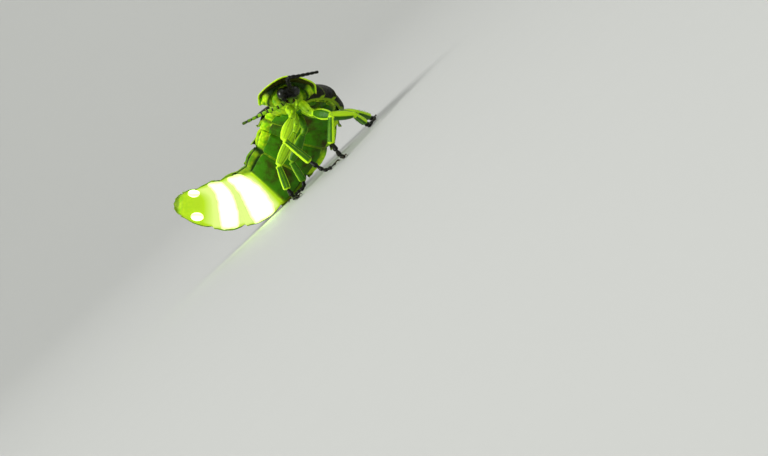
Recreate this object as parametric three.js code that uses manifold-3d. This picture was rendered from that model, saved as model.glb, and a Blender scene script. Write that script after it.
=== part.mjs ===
// A wingless female firefly (a glow-worm), life size, reared up on its legs with
// the abdomen curled to its right and the lantern plates turned to the front.
// Millimetres, +Z up. It stands on the plane z = 0 and faces -Y, so its own left is +X.
import * as THREE from "three";
import { mergeVertices } from "three/addons/utils/BufferGeometryUtils.js";
import Module from "manifold-3d";

const wasm = await Module();
wasm.setup();

// Driving dimensions
const gap = 0.1; // clearance between neighbouring pieces of so small an animal
const shieldWidth = 4.5; // across the pronotum, the size that sets the scale
const shieldLength = 3.0;
const shieldCrown = 0.8; // how far the pronotum arches above its rear corners
const shieldThickness = 0.34;
const cornerDroop = 0.6; // how far its rear corners hang below the rim
const headWidth = 1.45;
const eyeRadius = 0.38;
const antennaRadius = 0.25;
const feelerTipRadius = 0.12;
const femurRadius = 0.36;
const tibiaRadius = 0.27;
const footRadius = 0.25;
const lobeLength = 0.32; // how far the rear corners of a body ring reach back
const lanternDepth = 0.42; // thickness of a lantern plate
const ringSides = 28; // sides of a body ring
const limbSides = 12; // sides of a leg piece

const point = (x, y, z) => new THREE.Vector3(x, y, z);

// Thorax frame: where the prothorax meets the next ring, and which way it looks.
const neck = point(0.62, 0.8, 5.86);
const forward = point(0.15, -0.98, 0.125).normalize();
const thoraxUp = point(0.515, 0.13, 0.85);
thoraxUp.addScaledVector(forward, -thoraxUp.dot(forward)).normalize();
const thoraxLeft = thoraxUp.clone().cross(forward);

function hoodPoint(left, ahead, up) {
  return neck
    .clone()
    .addScaledVector(thoraxLeft, left)
    .addScaledVector(forward, ahead)
    .addScaledVector(thoraxUp, up);
}

// The body axis: one joint between each two rings, from the throat to the tail,
// with the way the back faces there, the half width and the two half heights.
const stations = [
  { at: hoodPoint(0, 1.35, 0.1), back: thoraxUp, wide: 1.15, back_h: 1.05, belly_h: 0.85 },
  { at: neck, back: thoraxUp, wide: 1.6, back_h: 1.0, belly_h: 1.1 },
  { at: point(1.18, 2.0, 5.46), back: point(0.52, 0.3, 0.8), wide: 2.22, back_h: 1.02, belly_h: 1.15 },
  { at: point(1.41, 3.23, 5.02), back: point(0.5, 0.45, 0.74), wide: 2.55, back_h: 1.08, belly_h: 1.15 },
  { at: point(1.19, 4.4, 4.52), back: point(0.45, 0.62, 0.65), wide: 3.0, back_h: 1.05, belly_h: 1.15 },
  { at: point(0.22, 5.39, 4.01), back: point(0.35, 0.75, 0.56), wide: 3.4, back_h: 0.95, belly_h: 1.15 },
  { at: point(-0.89, 5.98, 3.31), back: point(0.25, 0.82, 0.5), wide: 3.35, back_h: 0.92, belly_h: 1.1 },
  { at: point(-2.93, 6.28, 2.67), back: point(0.15, 0.86, 0.48), wide: 3.0, back_h: 0.9, belly_h: 1.05 },
  { at: point(-5.2, 6.35, 2.2), back: point(0.08, 0.92, 0.35), wide: 2.55, back_h: 0.82, belly_h: 1.0 },
  { at: point(-7.45, 6.25, 2.7), back: point(0.05, 0.98, 0.15), wide: 2.35, back_h: 0.75, belly_h: 0.9 },
  { at: point(-9.15, 6.1, 3.78), back: point(0, 1, 0.05), wide: 2.02, back_h: 0.62, belly_h: 0.75 },
  { at: point(-10.85, 6.0, 5.48), back: point(0, 1, 0), wide: 1.0, back_h: 0.4, belly_h: 0.46 },
  { at: point(-11.3, 5.95, 5.98), back: point(0, 1, 0), wide: 0.5, back_h: 0.25, belly_h: 0.28 },
];
const lastJoint = stations.length - 1;
const axis = new THREE.CatmullRomCurve3(
  stations.map((s) => s.at),
  false,
  "centripetal",
);

// The axis point, its directions and the size of the body at s, counted in rings.
function bodyFrame(s) {
  const t = THREE.MathUtils.clamp(s / lastJoint, 0, 1);
  const first = Math.min(Math.max(Math.floor(s), 0), lastJoint - 1);
  const share = THREE.MathUtils.clamp(s - first, 0, 1);
  const a = stations[first];
  const b = stations[first + 1];
  const tail = axis.getTangent(t);
  const back = a.back.clone().lerp(b.back, share);
  back.addScaledVector(tail, -back.dot(tail)).normalize();
  const left = tail.clone().cross(back);
  const mix = (key) => THREE.MathUtils.lerp(a[key], b[key], share);
  const origin = axis.getPoint(t).addScaledVector(tail, ringLength(first) * (s - t * lastJoint));
  return { origin, tail, back, left, wide: mix("wide"), back_h: mix("back_h"), belly_h: mix("belly_h") };
}

function ringLength(ring) {
  return stations[ring].at.distanceTo(stations[ring + 1].at);
}

// A point of the body: s along the axis, angle round it (0 at its left edge, 90 degrees
// on the back), r from the axis to the skin, grow millimetres outside that, and shift
// millimetres further towards the tail.
function bodyPoint(s, angle, r, grow = 0, shift = 0) {
  const f = bodyFrame(s);
  const c = Math.cos(angle);
  const v = Math.sin(angle);
  const high = v > 0 ? f.back_h : f.belly_h;
  const across = (f.wide * r + grow) * Math.sign(c) * Math.abs(c) ** 0.9;
  const up = (high * r + grow) * Math.sign(v) * Math.abs(v) ** 1.15;
  return f.origin.addScaledVector(f.left, across).addScaledVector(f.back, up).addScaledVector(f.tail, shift);
}

// Solids

// Makes a closed geometry a solid, turned right side out.
function solidFrom(geometry) {
  const bare = geometry.clone();
  bare.deleteAttribute("normal");
  bare.deleteAttribute("uv");
  const merged = mergeVertices(bare, 1e-4);
  const index = merged.index.array;
  const kept = [];
  for (let i = 0; i < index.length; i += 3) {
    const [a, b, c] = [index[i], index[i + 1], index[i + 2]];
    if (a !== b && b !== c && c !== a) kept.push(a, b, c);
  }
  const make = (triVerts) =>
    new wasm.Manifold(
      new wasm.Mesh({
        numProp: 3,
        vertProperties: merged.attributes.position.array,
        triVerts: new Uint32Array(triVerts),
      }),
    );
  const solid = make(kept);
  if (solid.volume() > 0) return solid;
  const turned = [];
  for (let i = 0; i < kept.length; i += 3) turned.push(kept[i], kept[i + 2], kept[i + 1]);
  return make(turned);
}

// Moves every vertex of a geometry to where place(x, y, z) says.
function shaped(geometry, place) {
  const p = geometry.attributes.position;
  for (let i = 0; i < p.count; i++) {
    const to = place(p.getX(i), p.getY(i), p.getZ(i));
    p.setXYZ(i, to.x, to.y, to.z);
  }
  return solidFrom(geometry);
}

function largest(solid) {
  return solid.decompose().sort((a, b) => b.volume() - a.volume())[0];
}

function without(solid, ...cutters) {
  return largest(cutters.reduce((left, cutter) => left.subtract(cutter), solid));
}

// Everything under the floor is cut away, which leaves the small flats it rests on.
const floorCutter = solidFrom(new THREE.BoxGeometry(60, 60, 4).translate(0, 0, -2));

const lathe = (profile, sides) =>
  new THREE.LatheGeometry(
    profile.map(([r, y]) => new THREE.Vector2(r, y)),
    sides,
  );

// One ring of the body: narrower in front, flared behind, with its rear corners drawn back.
const ringProfile = [
  [0, 0],
  [0.78, 0],
  [0.85, 0.07],
  [0.9, 0.45],
  [0.95, 0.8],
  [1.02, 1],
  [0.925, 1],
  [0, 1],
];

function bodyRing(ring, { profile = ringProfile, lobe = lobeLength, grow = 0 } = {}) {
  const rimRadius = Math.max(...profile.map(([r]) => r));
  return shaped(lathe(profile, ringSides), (x, y, z) => {
    const r = Math.hypot(x, z);
    const angle = Math.atan2(z, x);
    const corner = y > 0.99 && r > rimRadius - 0.01 ? Math.abs(Math.cos(angle)) ** 3 : 0;
    const s = ring + y + (corner * lobe) / ringLength(ring);
    return bodyPoint(s, angle, r, r > 0.01 ? grow : 0, (gap / 2 - grow) * (1 - 2 * y));
  });
}

// A round limb piece along a line: its profile gives share of the length and radius.
function limb(from, to, profile, { flat = 1, side = point(0, 0, 1), grow = 0, sides = limbSides } = {}) {
  const along = to.clone().sub(from);
  const length = along.length();
  along.normalize();
  const broad = side.clone().addScaledVector(along, -side.dot(along)).normalize();
  const thin = along.clone().cross(broad);
  const points = profile.map(([t, r], i) => {
    const end = i === 0 ? -grow : i === profile.length - 1 ? grow : 0;
    return [r === 0 ? 0 : r + grow, t * length + end];
  });
  return shaped(lathe(points, sides), (x, y, z) =>
    from
      .clone()
      .addScaledVector(along, y)
      .addScaledVector(broad, x)
      .addScaledVector(thin, z * flat),
  );
}

// A slender piece along a curve, with its radius as a function of the share of the length.
function feeler(curve, radiusAt, { rings = 24, sides = 10, grow = 0 } = {}) {
  const profile = [[0, 0]];
  for (let i = 0; i <= rings; i++) profile.push([radiusAt(i / rings) + grow, i / rings]);
  profile.push([0, 1]);
  const helper = point(0.3, 0.2, 1);
  return shaped(lathe(profile, sides), (x, y, z) => {
    const along = curve.getTangentAt(y);
    const broad = helper.clone().addScaledVector(along, -helper.dot(along)).normalize();
    const thin = along.clone().cross(broad);
    const end = y === 0 ? -grow : y === 1 ? grow : 0;
    return curve
      .getPointAt(y)
      .addScaledVector(along, end)
      .addScaledVector(broad, x)
      .addScaledVector(thin, z);
  });
}

// An ellipsoid set in the thorax frame.
function hoodEllipsoid(centre, half, grow = 0) {
  return shaped(new THREE.SphereGeometry(1, 18, 12), (x, y, z) =>
    hoodPoint(
      centre[0] + x * (half[0] + grow),
      centre[1] + y * (half[1] + grow),
      centre[2] + z * (half[2] + grow),
    ),
  );
}

// The group and its finishes

const firefly = new THREE.Group();
const finish = (color, roughness, extra = {}) =>
  new THREE.MeshStandardMaterial({ color, roughness, metalness: 0, ...extra });
const plates = finish("#1d1a12", 0.55);
const shieldSkin = finish("#9aa52a", 0.5);
const belly = finish("#a9b83a", 0.55);
const legSkin = finish("#8fa32c", 0.45);
const darkSkin = finish("#15140f", 0.4);
const eyeSkin = finish("#050506", 0.12);
const glow = finish("#f2ffc4", 0.4, { emissive: "#c8ff3c", emissiveIntensity: 1 });

function add(name, solid, material) {
  const { numProp, vertProperties, triVerts } = solid.getMesh();
  const positions = new Float32Array((vertProperties.length / numProp) * 3);
  for (let i = 0; i < positions.length / 3; i++) {
    positions.set(vertProperties.subarray(i * numProp, i * numProp + 3), i * 3);
  }
  const geometry = new THREE.BufferGeometry();
  geometry.setAttribute("position", new THREE.BufferAttribute(positions, 3));
  geometry.setIndex(new THREE.BufferAttribute(new Uint32Array(triVerts), 1));
  geometry.computeVertexNormals();
  const mesh = new THREE.Mesh(geometry, material);
  mesh.name = name;
  firefly.add(mesh);
}

// Pronotum: a half-round arched shield that hoods the head, with drawn-out rear corners.
const shieldBack = -0.15;
const shieldMiddle = 1.05; // widest line, ahead of the neck joint
const shieldLift = 0.45; // height of its rear corners above the axis

function pronotum(grow = 0) {
  const half = shieldWidth / 2;
  const ahead = shieldBack + shieldLength - shieldMiddle;
  const behind = shieldMiddle - shieldBack;
  return shaped(new THREE.SphereGeometry(1, 40, 12).rotateX(Math.PI / 2), (x, y, z) => {
    const r = Math.min(Math.hypot(x, y), 1);
    const turn = Math.atan2(y, x);
    const c = Math.cos(turn);
    const v = Math.sin(turn);
    const reach = r * (1 + grow / half);
    const squareness = v < 0 ? 0.42 : 1;
    const left = half * reach * Math.sign(c) * Math.abs(c) ** squareness;
    const bite = v < 0 ? 0.3 * (1 - (left / half) ** 2) * r * -v : 0;
    const front = shieldMiddle + reach * (v > 0 ? ahead * v : -behind * Math.abs(v) ** squareness) + bite;
    const arch = shieldLift + shieldCrown * (1 - Math.abs(left / half) ** 1.6);
    const brim = 0.12 * r ** 6; // the rim turns up a little
    const rear = THREE.MathUtils.smoothstep(shieldMiddle + 0.5 - front, 0, 1.5);
    const droop = cornerDroop * rear * THREE.MathUtils.smoothstep(Math.abs(left / half), 0.6, 0.88);
    const side = Math.sign(z) * Math.abs(z) ** 0.35;
    const thick = (shieldThickness / 2) * side + grow * Math.sign(z);
    return hoodPoint(left, front, arch + brim - droop + thick);
  });
}
add("pronotum", pronotum(), shieldSkin);

// Prothorax under the shield, then the rings behind it.
const prothoraxProfile = [
  [0, 0],
  [0.75, 0],
  [0.95, 0.15],
  [1, 0.5],
  [0.95, 0.9],
  [0.88, 1],
  [0, 1],
];
const prothorax = (grow) => bodyRing(0, { profile: prothoraxProfile, lobe: 0, grow });
add("prothorax", without(prothorax(0), pronotum(gap), bodyRing(1, { grow: gap })), belly);

const ringNames = [
  "prothorax",
  "mesothorax",
  "metathorax",
  ...Array.from({ length: 8 }, (_, i) => `abdomen_${i + 1}`),
  "tail_tip",
];
const lanternRing6 = ringNames.indexOf("abdomen_6");
const lanternRing7 = ringNames.indexOf("abdomen_7");
const lanternRing8 = ringNames.indexOf("abdomen_8");

const tipProfile = [
  [0, 0],
  [0.78, 0],
  [0.86, 0.1],
  [0.95, 0.5],
  [0.85, 0.85],
  [0.5, 1],
  [0, 1.03],
];

// A lantern band: a bowed plate let into the belly of a ring, its ends narrower and swept back.
function lanternBand(ring, { halfAngle, middle, bar, sweep, grow = 0 }) {
  const length = ringLength(ring);
  return shaped(new THREE.BoxGeometry(2, 2, 2, 14, 2, 1), (x, y, z) => {
    const angle = -Math.PI / 2 - x * (halfAngle + grow / 2.2);
    const bend = Math.abs(x) ** 2.5;
    const half = bar * (1 - 0.35 * bend) + grow / length;
    const s = ring + middle + sweep * bend + y * half;
    const share = s - ring;
    const skin = 0.88 + 0.1 * share;
    const { belly_h } = bodyFrame(s);
    const inner = 1 - (lanternDepth + grow) / belly_h;
    const outer = 1 + (grow * 3) / belly_h;
    return bodyPoint(s, angle, skin * (z > 0 ? outer : inner));
  });
}
const band6 = { halfAngle: 1.12, middle: 0.49, bar: 0.39, sweep: 0.14 };
const band7 = { halfAngle: 1.12, middle: 0.49, bar: 0.34, sweep: 0.14 };

// A lantern spot: a small round plate let into the belly of ring 8.
function lanternSpot({ angle, s, across, along, grow = 0 }) {
  const f = bodyFrame(s);
  const out = bodyPoint(s, angle, 1).sub(f.origin);
  const normal = out.clone().normalize();
  const centre = bodyPoint(s, angle, 0.84);
  const side = f.tail.clone().cross(normal).normalize();
  return shaped(new THREE.SphereGeometry(1, 14, 8), (x, y, z) =>
    centre
      .clone()
      .addScaledVector(side, x * (across + grow))
      .addScaledVector(f.tail, y * (along + grow))
      .addScaledVector(normal, z * (0.3 + grow) + grow * 0.5),
  );
}
const degree = Math.PI / 180;
const spots = {
  right: { angle: -135 * degree, s: lanternRing8 + 0.68, across: 0.32, along: 0.44 },
  left: { angle: -52 * degree, s: lanternRing8 + 0.47, across: 0.45, along: 0.5 },
};

// Legs. Knees and feet are places on or above the floor; the foot is a short path.
const legPlan = {
  front_right: {
    hip: hoodPoint(-0.1, 0.8, -0.6),
    coxa: point(0.22, -1.15, 4.88),
    knee: point(-1.57, -2.1, 4.03),
    ankle: point(-1.22, -2.0, 1.45),
    foot: [point(-0.95, -2.25, 0.5), point(-0.55, -2.45, 0.22), point(0.1, -2.6, 0.2)],
  },
  front_left: {
    hip: hoodPoint(0.85, 0.75, -0.45),
    coxa: point(1.25, -0.9, 4.12),
    knee: point(2.24, -2.2, 2.95),
    ankle: point(0.78, -2.5, 1.4),
    foot: [point(0.72, -2.95, 0.5), point(0.8, -3.45, 0.22), point(0.88, -4.15, 0.2)],
  },
  mid_right: {
    hip: bodyPoint(1.6, -105 * degree, 0.75),
    coxa: point(-0.1, 1.5, 4.0),
    knee: point(-3.2, 0.9, 2.8),
    ankle: point(-3.95, 0.6, 0.98),
    foot: [point(-3.97, 0.3, 0.34), point(-3.87, -0.15, 0.22), point(-3.6, -0.95, 0.2)],
  },
  mid_left: {
    hip: bodyPoint(1.6, -70 * degree, 0.75),
    coxa: point(1.5, 1.4, 3.5),
    knee: point(3.6, 2.1, 1.65),
    ankle: point(3.85, 3.7, 0.6),
    foot: [point(3.95, 4.2, 0.24), point(4.1, 4.6, 0.22), point(4.4, 5.3, 0.2)],
  },
  hind_right: {
    hip: bodyPoint(2.6, -108 * degree, 0.75),
    coxa: point(0.2, 2.6, 3.4),
    knee: point(-2.3, 2.7, 2.3),
    ankle: point(-2.65, 3.1, 0.55),
    foot: [point(-2.95, 3.25, 0.23), point(-3.4, 3.4, 0.22), point(-4.2, 3.6, 0.2)],
  },
  hind_left: {
    hip: bodyPoint(2.6, -70 * degree, 0.75),
    coxa: point(2.05, 2.75, 2.85),
    knee: point(3.9, 4.4, 1.6),
    ankle: point(4.45, 6.3, 0.55),
    foot: [point(4.6, 6.85, 0.23), point(4.7, 7.3, 0.22), point(4.8, 8.1, 0.2)],
  },
};

const coxaProfile = [
  [0, 0],
  [0, 0.3],
  [0.2, 0.37],
  [0.55, 0.37],
  [0.88, 0.29],
  [1, 0.14],
  [1, 0],
];
const femurProfile = [
  [0, 0],
  [0.0, 0.14],
  [0.06, 0.28],
  [0.15, 0.22],
  [0.24, 0.3],
  [0.5, femurRadius],
  [0.8, 0.33],
  [0.95, 0.26],
  [1, 0.14],
  [1, 0],
];
const tibiaProfile = [
  [0, 0],
  [0, 0.12],
  [0.05, 0.23],
  [0.2, 0.25],
  [0.6, tibiaRadius],
  [0.93, 0.27],
  [1, 0.2],
  [1, 0],
];

const coxa = (leg, grow = 0) =>
  limb(leg.hip, leg.coxa, coxaProfile, { flat: 0.9, side: thoraxLeft, grow });
const legSide = (leg) => leg.knee.clone().sub(leg.coxa).cross(leg.ankle.clone().sub(leg.knee)).normalize();
const femur = (leg, grow = 0) =>
  limb(leg.coxa, leg.knee, femurProfile, { flat: 1.25, side: legSide(leg), grow });
const tibia = (leg, grow = 0) =>
  limb(leg.knee, leg.ankle, tibiaProfile, { flat: 1.15, side: legSide(leg), grow });

// The foot: five joints that swell and narrow along one path, then a pair of claws.
const footJoints = 5;
const clawLength = 0.42;

function foot(leg) {
  const start = leg.foot[0].clone().sub(leg.ankle).setLength(gap).add(leg.ankle);
  const path = new THREE.CatmullRomCurve3([start, ...leg.foot], false, "centripetal");
  const radiusAt = (t) => {
    const swell = Math.sin(Math.PI * ((t * footJoints) % 1 || 0.5)) ** 0.6;
    return footRadius * (0.72 + 0.28 * swell) * (1 - 0.12 * t);
  };
  const pads = feeler(path, radiusAt, { rings: footJoints * 3, sides: 8 });
  const tip = leg.foot[leg.foot.length - 1];
  const ahead = path.getTangentAt(1);
  const aside = point(0, 0, 1).cross(ahead).normalize();
  const claws = [-1, 1].map((turn) => {
    const curve = new THREE.QuadraticBezierCurve3(
      tip.clone().addScaledVector(ahead, -0.15).addScaledVector(aside, turn * 0.07),
      tip.clone().addScaledVector(ahead, clawLength * 0.6).addScaledVector(aside, turn * 0.26),
      tip.clone().addScaledVector(ahead, clawLength).addScaledVector(aside, turn * 0.2).setZ(0.06),
    );
    return feeler(curve, (t) => 0.11 * (1 - 0.6 * t), { rings: 3, sides: 6 });
  });
  return claws.reduce((whole, claw) => whole.add(claw), pads);
}

ringNames.slice(1).forEach((name, i) => {
  const ring = i + 1;
  const cutters = [floorCutter];
  if (ring === 1) cutters.push(pronotum(gap));
  if (ring === lanternRing6) cutters.push(lanternBand(ring, { ...band6, grow: gap }));
  if (ring === lanternRing7) cutters.push(lanternBand(ring, { ...band7, grow: gap }));
  if (ring === lanternRing8) {
    cutters.push(...Object.values(spots).map((spot) => lanternSpot({ ...spot, grow: gap })));
  }
  const isTip = ring === ringNames.length - 1;
  const shape = isTip ? bodyRing(ring, { profile: tipProfile, lobe: 0 }) : bodyRing(ring);
  add(name, without(shape, ...cutters), ring < lanternRing6 - 4 ? plates : belly);
});
add("lantern_band_6", lanternBand(lanternRing6, band6), glow);
add("lantern_band_7", lanternBand(lanternRing7, band7), glow);
Object.entries(spots).forEach(([side, spot]) => add(`lantern_spot_${side}`, lanternSpot(spot), glow));

// Head, deep under the shield, with its eyes, feelers and mouthparts.
const headCentre = [0.02, 2.0, 0.22];
const headHalf = [headWidth / 2, 0.66, 0.56];
const faceCentre = [headCentre[0], headCentre[1] + 0.22, headCentre[2] - 0.5];
const faceHalf = [headWidth * 0.3, 0.42, 0.46];
const eyeCentre = (side) => [headCentre[0] + side * 0.5, 2.22, headCentre[2] + 0.02];
const eyeHalf = [eyeRadius, eyeRadius, eyeRadius * 1.15];
const head = (grow) => hoodEllipsoid(headCentre, headHalf, grow).add(hoodEllipsoid(faceCentre, faceHalf, grow));
add(
  "head",
  without(
    head(0),
    prothorax(gap),
    pronotum(gap),
    hoodEllipsoid(eyeCentre(1), eyeHalf, gap),
    hoodEllipsoid(eyeCentre(-1), eyeHalf, gap),
  ),
  darkSkin,
);

const headParts = {
  right: { side: -1, bend: [point(0.1, -2.55, 6.0), point(-1.3, -2.9, 6.45), point(-3.0, -2.7, 6.95)] },
  left: { side: 1, bend: [point(1.72, -2.72, 7.08), point(2.5, -2.75, 6.68), point(3.75, -2.4, 5.93)] },
};
Object.entries(headParts).forEach(([name, { side, bend }]) => {
  add(`eye_${name}`, hoodEllipsoid(eyeCentre(side), eyeHalf), eyeSkin);
  const root = hoodPoint(headCentre[0] + side * 0.28, 2.5, headCentre[2] - 0.07);
  const curve = new THREE.CatmullRomCurve3([root, ...bend], false, "centripetal");
  const joints = 11;
  const radiusAt = (t) => {
    const swell = Math.sin(Math.PI * ((t * joints) % 1 || 0.5)) ** 0.5;
    return THREE.MathUtils.lerp(antennaRadius, feelerTipRadius, t ** 1.5) * (0.8 + 0.2 * swell);
  };
  const antenna = feeler(curve, radiusAt, { rings: joints * 2, sides: 7 });
  const sockets = [head(gap), hoodEllipsoid(eyeCentre(side), eyeHalf, gap), pronotum(gap)];
  add(`antenna_${name}`, without(antenna, ...sockets), darkSkin);
  const palpCurve = new THREE.QuadraticBezierCurve3(
    hoodPoint(headCentre[0] + side * 0.25, 2.35, -0.45),
    hoodPoint(headCentre[0] + side * 0.4, 2.75, -0.7),
    hoodPoint(headCentre[0] + side * 0.26, 2.6, -1.12),
  );
  const palp = feeler(palpCurve, (t) => 0.19 * (1 - 0.35 * t), { rings: 6, sides: 8 });
  add(`palp_${name}`, without(palp, head(gap)), legSkin);
});

// The legs themselves, each piece hollowed where the one before it ends.
const rings = ringNames.map((_, ring) => (ring ? bodyRing(ring, { grow: gap }) : prothorax(gap)));
Object.entries(legPlan).forEach(([name, leg]) => {
  const bodyNear = [rings[0], rings[1], rings[2], rings[3]];
  add(`coxa_${name}`, without(coxa(leg), ...bodyNear), legSkin);
  add(`femur_${name}`, without(femur(leg), coxa(leg, gap), ...bodyNear), legSkin);
  add(`tibia_${name}`, without(tibia(leg), femur(leg, gap)), legSkin);
  add(`foot_${name}`, without(foot(leg), tibia(leg, gap), floorCutter), darkSkin);
});

// The origin is on the floor, under the middle of the animal.
const middle = new THREE.Box3().setFromObject(firefly).getCenter(point(0, 0, 0));
firefly.position.set(-middle.x, -middle.y, 0);
export default firefly;
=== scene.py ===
# A wingless female firefly, a glow-worm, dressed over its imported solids
import math
import bpy
import numpy as np
from mathutils import Matrix, Vector


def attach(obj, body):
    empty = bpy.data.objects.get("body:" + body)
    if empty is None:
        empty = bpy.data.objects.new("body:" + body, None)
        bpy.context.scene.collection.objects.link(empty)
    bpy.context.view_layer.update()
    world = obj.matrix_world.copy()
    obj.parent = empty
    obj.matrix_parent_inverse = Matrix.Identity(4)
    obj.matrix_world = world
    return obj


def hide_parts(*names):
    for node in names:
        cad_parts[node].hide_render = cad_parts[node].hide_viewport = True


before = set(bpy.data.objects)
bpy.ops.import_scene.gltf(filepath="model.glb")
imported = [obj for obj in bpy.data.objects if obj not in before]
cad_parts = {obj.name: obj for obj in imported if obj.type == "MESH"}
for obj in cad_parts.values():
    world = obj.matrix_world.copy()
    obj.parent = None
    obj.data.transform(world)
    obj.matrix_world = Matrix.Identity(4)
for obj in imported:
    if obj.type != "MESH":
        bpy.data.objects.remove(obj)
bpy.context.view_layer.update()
bpy.ops.object.select_all(action="DESELECT")  # the solids come in selected
mm = 0.001  # shapes are worked out in millimetres and made metres as each piece is finished
degree = math.pi / 180
originShift = (3.2671, -1.9765, 0.0)  # from where the shapes are planned to where the solids stand


# Camera: level with the animal, three degrees above the floor, and turned about its own line of sight
cameraPlan = {
    "anchor": originShift,  # the point of the floor that the framing is measured from
    "anchorPixel": (335, 164),
    "frame": (768, 456),
    "distance": 160.0,
    "elevation": 3.0,
    "roll": 43.0,
    "pixelsPerMm": 13.3,
    "sensor": 36.0,
    "clip": (0.005, 10),
}


def placeCamera(plan):
    tilt = plan["elevation"] * degree
    roll = plan["roll"] * degree
    ahead = Vector((0, math.cos(tilt), -math.sin(tilt)))
    level = Vector((1, 0, 0))
    upright = Vector((0, math.sin(tilt), math.cos(tilt)))
    right = level * math.cos(roll) - upright * math.sin(roll)
    up = level * math.sin(roll) + upright * math.cos(roll)
    anchor = Vector(plan["anchor"])
    acrossPixels = plan["frame"][0] / 2 - plan["anchorPixel"][0]
    downPixels = plan["frame"][1] / 2 - plan["anchorPixel"][1]
    aim = anchor + (right * acrossPixels - up * downPixels) / plan["pixelsPerMm"]
    eye = anchor - ahead * plan["distance"]
    look = (aim - eye).normalized()
    right = (right - look * right.dot(look)).normalized()
    up = right.cross(look)
    turn = Matrix((right, up, -look)).transposed().to_4x4()
    bpy.ops.object.camera_add(location=eye * mm)
    camera = bpy.context.object
    camera.name = "camera"
    camera.rotation_euler = turn.to_euler()
    camera.data.sensor_width = plan["sensor"]
    camera.data.lens = plan["pixelsPerMm"] * plan["distance"] / plan["frame"][0] * plan["sensor"]
    camera.data.clip_start, camera.data.clip_end = plan["clip"]
    bpy.context.scene.camera = camera


placeCamera(cameraPlan)
bpy.context.scene.view_settings.view_transform = "Standard"  # keeps the greens as saturated as in life
print("camera placed")

lowShine = 0.15  # specular level of every finish but the eye's: a waxy bloom dulls the cuticle
bleedDepth = 0.2  # how far light spreads in soft cuticle, in millimetres


# Colours are sRGB hex, and Blender works in linear light
def linear(hexColour):
    parts = [int(hexColour[i:i + 2], 16) / 255 for i in (1, 3, 5)]
    return [p / 12.92 if p <= 0.04045 else ((p + 0.055) / 1.055) ** 2.4 for p in parts] + [1.0]


# Sets sockets of a node, each to a value or to another node's output
def setSockets(tree, node, inputs):
    for key, value in inputs.items():
        if isinstance(value, bpy.types.NodeSocket):
            tree.links.new(value, node.inputs[key])
        else:
            node.inputs[key].default_value = value


# Adds one node with its settings and links, and gives the output that is used of it
def addNode(tree, kind, inputs=None, use=0, **settings):
    node = tree.nodes.new("ShaderNode" + kind)
    for key, value in settings.items():
        setattr(node, key, value)
    setSockets(tree, node, inputs or {})
    return node.outputs[use]


# A new material, its colours in linear light, and object coordinates in millimetres for its patterns
def newMaterial(name, finish):
    material = bpy.data.materials.new(name)
    material.use_nodes = True
    tree = material.node_tree
    setSockets(tree, tree.nodes["Principled BSDF"], {"Specular IOR Level": lowShine})
    place = addNode(tree, "TexCoord", use="Object")
    at = addNode(tree, "Mapping", {"Vector": place, "Scale": [1 / mm] * 3})
    tone = {key: linear(value) for key, value in finish.items() if isinstance(value, str)}
    return material, tree, at, tone


# Lays colours over a first one: a layer is the value it follows, where it starts and covers, and its colour
def layColours(tree, colour, layers):
    for value, start, full, over in layers:
        share = addNode(tree, "MapRange", {"Value": value, "From Min": start, "From Max": full})
        colour = addNode(tree, "Mix", {0: share, 6: colour, 7: over}, use=2, data_type="RGBA")
    return colour


# Ends a material with its colour, its relief, its shine and, in soft cuticle, light under the surface
def setSurface(tree, finish, colour, height, dull=None, sunk=False):
    shader = tree.nodes["Principled BSDF"]
    strength, depth = finish["relief"]  # its depth is in millimetres
    relief = {"Height": height, "Strength": strength, "Distance": depth * mm}
    bump = addNode(tree, "Bump", relief, invert=sunk)
    roughness = finish["roughness"]
    if dull:
        low, high = roughness  # where the pattern is low and where it is high
        roughness = addNode(tree, "MapRange", {"Value": dull, "To Min": low, "To Max": high})
    look = {"Base Color": colour, "Normal": bump, "Roughness": roughness, "IOR": finish["ior"]}
    if "softness" in finish:
        look.update({"Subsurface Weight": finish["softness"], "Subsurface Radius": finish["bleed"],
                     "Subsurface Scale": bleedDepth * mm})
    setSockets(tree, shader, look)


# Hardened chitin of the back: near-black brown, finely pitted, with a waxy satin gloss
backFinish = {"deep": "#080a03", "brown": "#2b2a08", "margin": "#93b814", "pits": 9.0,
              "relief": (0.8, 0.05), "roughness": (0.3, 0.54), "ior": 1.56}


def chitinBack(finish):
    material, tree, at, tone = newMaterial("pittedChitin", finish)
    blotch = addNode(tree, "TexNoise", {"Vector": at, "Scale": 1.1, "Detail": 5.0, "Roughness": 0.6})
    margin = addNode(tree, "Attribute", use="Fac", attribute_name="margin")
    ragged = addNode(tree, "Math", {0: blotch, 1: 0.35, 2: margin}, operation="MULTIPLY_ADD")
    layers = [(blotch, 0.35, 0.7, tone["brown"]), (ragged, 0.82, 1.12, tone["margin"])]
    colour = layColours(tree, tone["deep"], layers)
    pits = addNode(tree, "TexVoronoi", {"Vector": at, "Scale": finish["pits"]})
    hollow = addNode(tree, "MapRange", {"Value": pits, "From Max": 0.45})
    grain = addNode(tree, "TexNoise", {"Vector": at, "Scale": 22.0, "Detail": 3.0})
    rugose = addNode(tree, "TexNoise", {"Vector": at, "Scale": 3.4, "Detail": 5.0, "Roughness": 0.7})
    coarse = addNode(tree, "Math", {0: rugose, 1: 3.0, 2: grain}, operation="MULTIPLY_ADD")
    height = addNode(tree, "Math", {0: hollow, 1: coarse}, operation="ADD")
    setSurface(tree, finish, colour, height, grain)
    return material


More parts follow.
